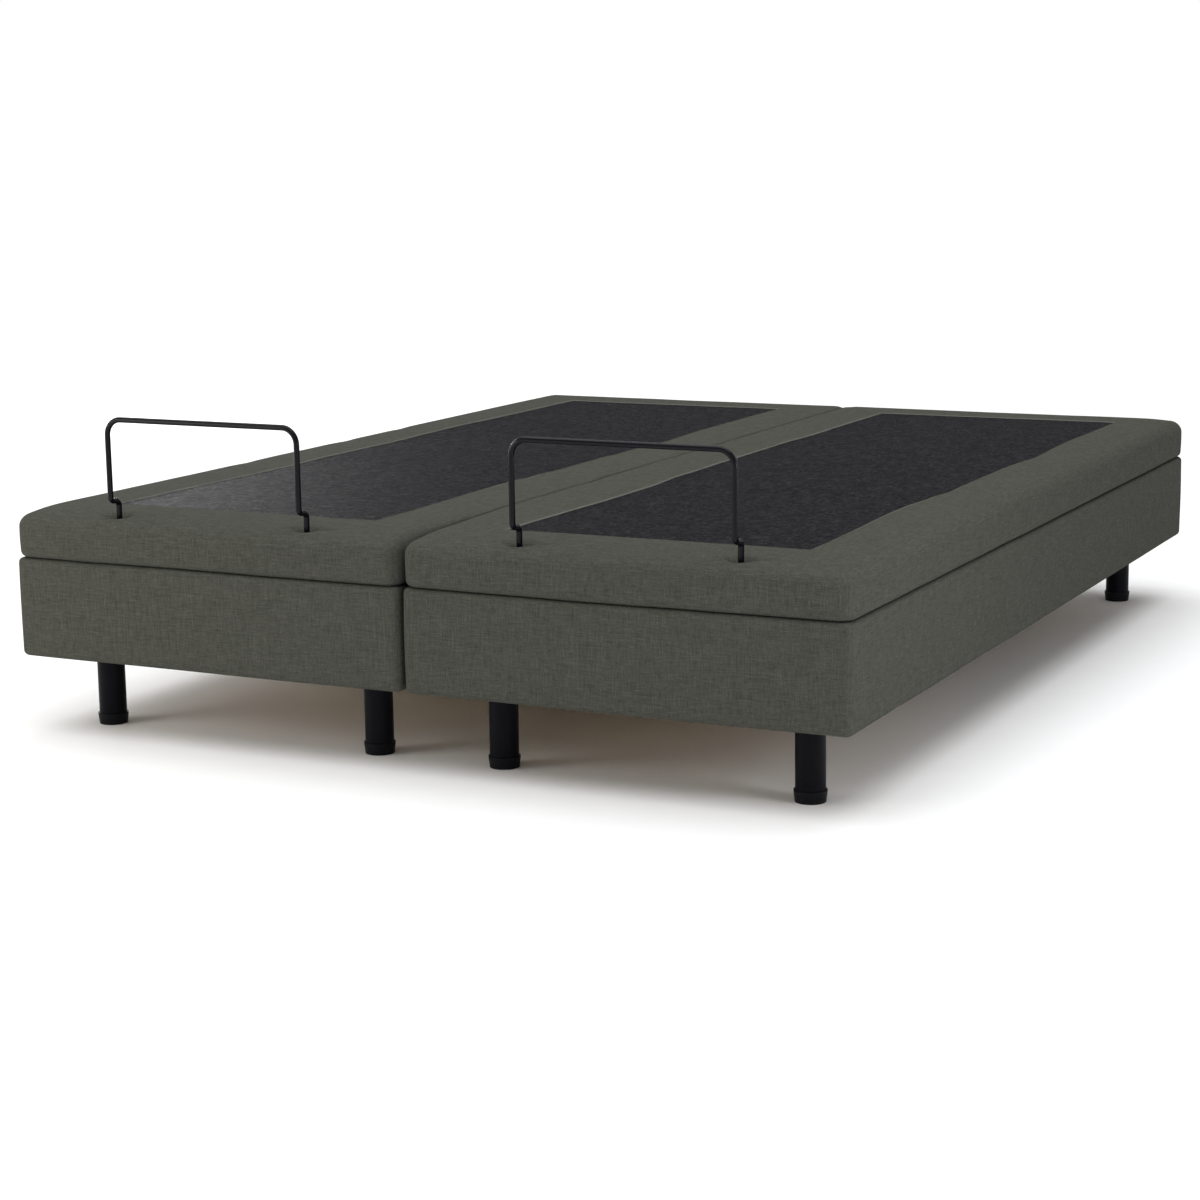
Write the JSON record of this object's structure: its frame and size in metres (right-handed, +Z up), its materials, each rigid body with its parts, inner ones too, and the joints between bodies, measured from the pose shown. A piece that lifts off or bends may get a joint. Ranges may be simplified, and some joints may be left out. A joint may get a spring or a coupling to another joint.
{
  "type": "adjustable bed base",
  "caption": "Twin upholstered adjustable bed base on round legs, with hinged lids lifted by twin drives and a bent mattress retainer bar at each foot end.",
  "frame": {"origin": "centre of the footprint, on the floor", "axes": "+Z up, +Y towards the head end, +X across the bed, towards the right-hand unit when seen from the foot end"},
  "size_m": [1.6, 2.1, 0.579],
  "materials": {
    "mat_fabric": "dark olive-grey melange woven upholstery, charcoal panel in the top",
    "box_fabric": "dark olive-grey melange woven upholstery",
    "panel_board": "raw particle board and softwood",
    "plywood": "raw plywood",
    "black_steel": "black satin powder coat",
    "zinc_steel": "zinc plated",
    "spindle_steel": "rolled thread, greased",
    "motor_steel": "dark grey motor can",
    "black_plastic": "black moulded",
    "drive_plastic": "dark grey moulded",
    "nut_plastic": "natural acetal",
    "roller_plastic": "black nylon",
    "inlet_plastic": "black moulded, unmarked"
  },
  "bodies": {
    "base": {"side_boards": "panel_board", "end_boards": "panel_board", "leg_tubes": "black_steel", "leg_glides": "black_plastic", "corner_blocks": "panel_board", "seat_hinge_leaves": "zinc_steel", "tube_bearings": "black_plastic", "seat_cleats": "panel_board", "drive_housings": "drive_plastic", "drive_motors": "motor_steel", "control_boxes": "black_plastic", "mains_inlets": "inlet_plastic", "unit_links": "zinc_steel", "left_box_cover": "box_fabric", "left_seat_mat": "mat_fabric", "left_seat_deck": "plywood", "right_box_cover": "box_fabric", "right_seat_mat": "mat_fabric", "right_seat_deck": "plywood"},
    "left_back": {"left_back_mat": "mat_fabric", "left_back_deck": "plywood", "left_back_hinge_leaves": "zinc_steel"},
    "left_thigh": {"left_thigh_mat": "mat_fabric", "left_thigh_deck": "plywood", "left_thigh_hinge_leaves": "zinc_steel"},
    "left_calf": {"left_calf_mat": "mat_fabric", "left_calf_deck": "plywood", "left_calf_hinge_leaves": "zinc_steel", "left_bar_sockets": "black_plastic"},
    "left_bar": {"left_retainer_bar": "black_steel"},
    "left_back_frame": {"left_back_lift_frame": "black_steel"},
    "left_back_roller_pair": {"left_back_rollers": "roller_plastic"},
    "left_back_nut": {"left_back_thrust_nut": "nut_plastic"},
    "left_back_screw": {"left_back_spindle": "spindle_steel"},
    "left_thigh_frame": {"left_thigh_lift_frame": "black_steel"},
    "left_thigh_roller_pair": {"left_thigh_rollers": "roller_plastic"},
    "left_thigh_nut": {"left_thigh_thrust_nut": "nut_plastic"},
    "left_thigh_screw": {"left_thigh_spindle": "spindle_steel"},
    "right_back": {"right_back_mat": "mat_fabric", "right_back_deck": "plywood", "right_back_hinge_leaves": "zinc_steel"},
    "right_thigh": {"right_thigh_mat": "mat_fabric", "right_thigh_deck": "plywood", "right_thigh_hinge_leaves": "zinc_steel"},
    "right_calf": {"right_calf_mat": "mat_fabric", "right_calf_deck": "plywood", "right_calf_hinge_leaves": "zinc_steel", "right_bar_sockets": "black_plastic"},
    "right_bar": {"right_retainer_bar": "black_steel"},
    "right_back_frame": {"right_back_lift_frame": "black_steel"},
    "right_back_roller_pair": {"right_back_rollers": "roller_plastic"},
    "right_back_nut": {"right_back_thrust_nut": "nut_plastic"},
    "right_back_screw": {"right_back_spindle": "spindle_steel"},
    "right_thigh_frame": {"right_thigh_lift_frame": "black_steel"},
    "right_thigh_roller_pair": {"right_thigh_rollers": "roller_plastic"},
    "right_thigh_nut": {"right_thigh_thrust_nut": "nut_plastic"},
    "right_thigh_screw": {"right_thigh_spindle": "spindle_steel"}
  },
  "joints": [
    {"name": "left_back_lift", "type": "hinge", "parent": "base", "child": "left_back", "pos_m": [-0.402, 0.27, 0.312], "axis": [1, 0, 0], "range_deg": [0, 60]},
    {"name": "left_thigh_lift", "type": "hinge", "parent": "base", "child": "left_thigh", "pos_m": [-0.402, 0.04, 0.312], "axis": [-1, 0, 0], "range_deg": [0, 35]},
    {"name": "left_knee_bend", "type": "hinge", "parent": "left_thigh", "child": "left_calf", "pos_m": [-0.402, -0.34, 0.312], "axis": [1, 0, 0], "range_deg": [0, 52.6]},
    {"name": "left_bar_pull", "type": "slide", "parent": "left_calf", "child": "left_bar", "axis": [0, 0, 1], "range_m": [0, 0.07]},
    {"name": "left_back_tube_turn", "type": "hinge", "parent": "base", "child": "left_back_frame", "pos_m": [-0.402, 0.27, 0.2897], "axis": [1, 0, 0], "range_deg": [0, 58.1]},
    {"name": "left_thigh_tube_turn", "type": "hinge", "parent": "base", "child": "left_thigh_frame", "pos_m": [-0.402, -0.06, 0.2897], "axis": [-1, 0, 0], "range_deg": [0, 48.5]},
    {"name": "left_back_roller_spin", "type": "hinge", "parent": "left_back_frame", "child": "left_back_roller_pair", "pos_m": [-0.402, 0.59, 0.2897], "axis": [1, 0, 0], "continuous": true},
    {"name": "left_thigh_roller_spin", "type": "hinge", "parent": "left_thigh_frame", "child": "left_thigh_roller_pair", "pos_m": [-0.402, -0.29, 0.2897], "axis": [1, 0, 0], "continuous": true},
    {"name": "left_back_nut_push", "type": "slide", "parent": "base", "child": "left_back_nut", "axis": [0, 1, 0], "range_m": [0, 0.06801]},
    {"name": "left_thigh_nut_push", "type": "slide", "parent": "base", "child": "left_thigh_nut", "axis": [0, -1, 0], "range_m": [0, 0.05751]},
    {"name": "left_back_screw_spin", "type": "hinge", "parent": "base", "child": "left_back_screw", "pos_m": [-0.402, 0.22, 0.222], "axis": [0, -1, 0], "range_deg": [0, 4076.3]},
    {"name": "left_thigh_screw_spin", "type": "hinge", "parent": "base", "child": "left_thigh_screw", "pos_m": [-0.402, -0.03, 0.222], "axis": [0, 1, 0], "range_deg": [0, 3446.7]},
    {"name": "right_back_lift", "type": "hinge", "parent": "base", "child": "right_back", "pos_m": [0.402, 0.27, 0.312], "axis": [1, 0, 0], "range_deg": [0, 60]},
    {"name": "right_thigh_lift", "type": "hinge", "parent": "base", "child": "right_thigh", "pos_m": [0.402, 0.04, 0.312], "axis": [-1, 0, 0], "range_deg": [0, 35]},
    {"name": "right_knee_bend", "type": "hinge", "parent": "right_thigh", "child": "right_calf", "pos_m": [0.402, -0.34, 0.312], "axis": [1, 0, 0], "range_deg": [0, 52.6]},
    {"name": "right_bar_pull", "type": "slide", "parent": "right_calf", "child": "right_bar", "axis": [0, 0, 1], "range_m": [0, 0.07]},
    {"name": "right_back_tube_turn", "type": "hinge", "parent": "base", "child": "right_back_frame", "pos_m": [0.402, 0.27, 0.2897], "axis": [1, 0, 0], "range_deg": [0, 58.1]},
    {"name": "right_thigh_tube_turn", "type": "hinge", "parent": "base", "child": "right_thigh_frame", "pos_m": [0.402, -0.06, 0.2897], "axis": [-1, 0, 0], "range_deg": [0, 48.5]},
    {"name": "right_back_roller_spin", "type": "hinge", "parent": "right_back_frame", "child": "right_back_roller_pair", "pos_m": [0.402, 0.59, 0.2897], "axis": [1, 0, 0], "continuous": true},
    {"name": "right_thigh_roller_spin", "type": "hinge", "parent": "right_thigh_frame", "child": "right_thigh_roller_pair", "pos_m": [0.402, -0.29, 0.2897], "axis": [1, 0, 0], "continuous": true},
    {"name": "right_back_nut_push", "type": "slide", "parent": "base", "child": "right_back_nut", "axis": [0, 1, 0], "range_m": [0, 0.06801]},
    {"name": "right_thigh_nut_push", "type": "slide", "parent": "base", "child": "right_thigh_nut", "axis": [0, -1, 0], "range_m": [0, 0.05751]},
    {"name": "right_back_screw_spin", "type": "hinge", "parent": "base", "child": "right_back_screw", "pos_m": [0.402, 0.22, 0.222], "axis": [0, -1, 0], "range_deg": [0, 4076.3]},
    {"name": "right_thigh_screw_spin", "type": "hinge", "parent": "base", "child": "right_thigh_screw", "pos_m": [0.402, -0.03, 0.222], "axis": [0, 1, 0], "range_deg": [0, 3446.7]}
  ],
  "couplings": [
    {"joint": "left_knee_bend", "follows": "left_thigh_lift", "ratio": 1.5},
    {"joint": "left_back_tube_turn", "follows": "left_back_lift", "ratio": 0.96717},
    {"joint": "left_thigh_tube_turn", "follows": "left_thigh_lift", "ratio": 1.3834},
    {"joint": "left_back_nut_push", "follows": "left_back_lift", "m_per_rad": 0.064845},
    {"joint": "left_thigh_nut_push", "follows": "left_thigh_lift", "m_per_rad": 0.093984},
    {"joint": "left_back_screw_spin", "follows": "left_back_lift", "ratio": 67.905},
    {"joint": "left_thigh_screw_spin", "follows": "left_thigh_lift", "ratio": 98.42},
    {"joint": "right_knee_bend", "follows": "right_thigh_lift", "ratio": 1.5},
    {"joint": "right_back_tube_turn", "follows": "right_back_lift", "ratio": 0.96717},
    {"joint": "right_thigh_tube_turn", "follows": "right_thigh_lift", "ratio": 1.3834},
    {"joint": "right_back_nut_push", "follows": "right_back_lift", "m_per_rad": 0.064845},
    {"joint": "right_thigh_nut_push", "follows": "right_thigh_lift", "m_per_rad": 0.093984},
    {"joint": "right_back_screw_spin", "follows": "right_back_lift", "ratio": 67.905},
    {"joint": "right_thigh_screw_spin", "follows": "right_thigh_lift", "ratio": 98.42}
  ]
}
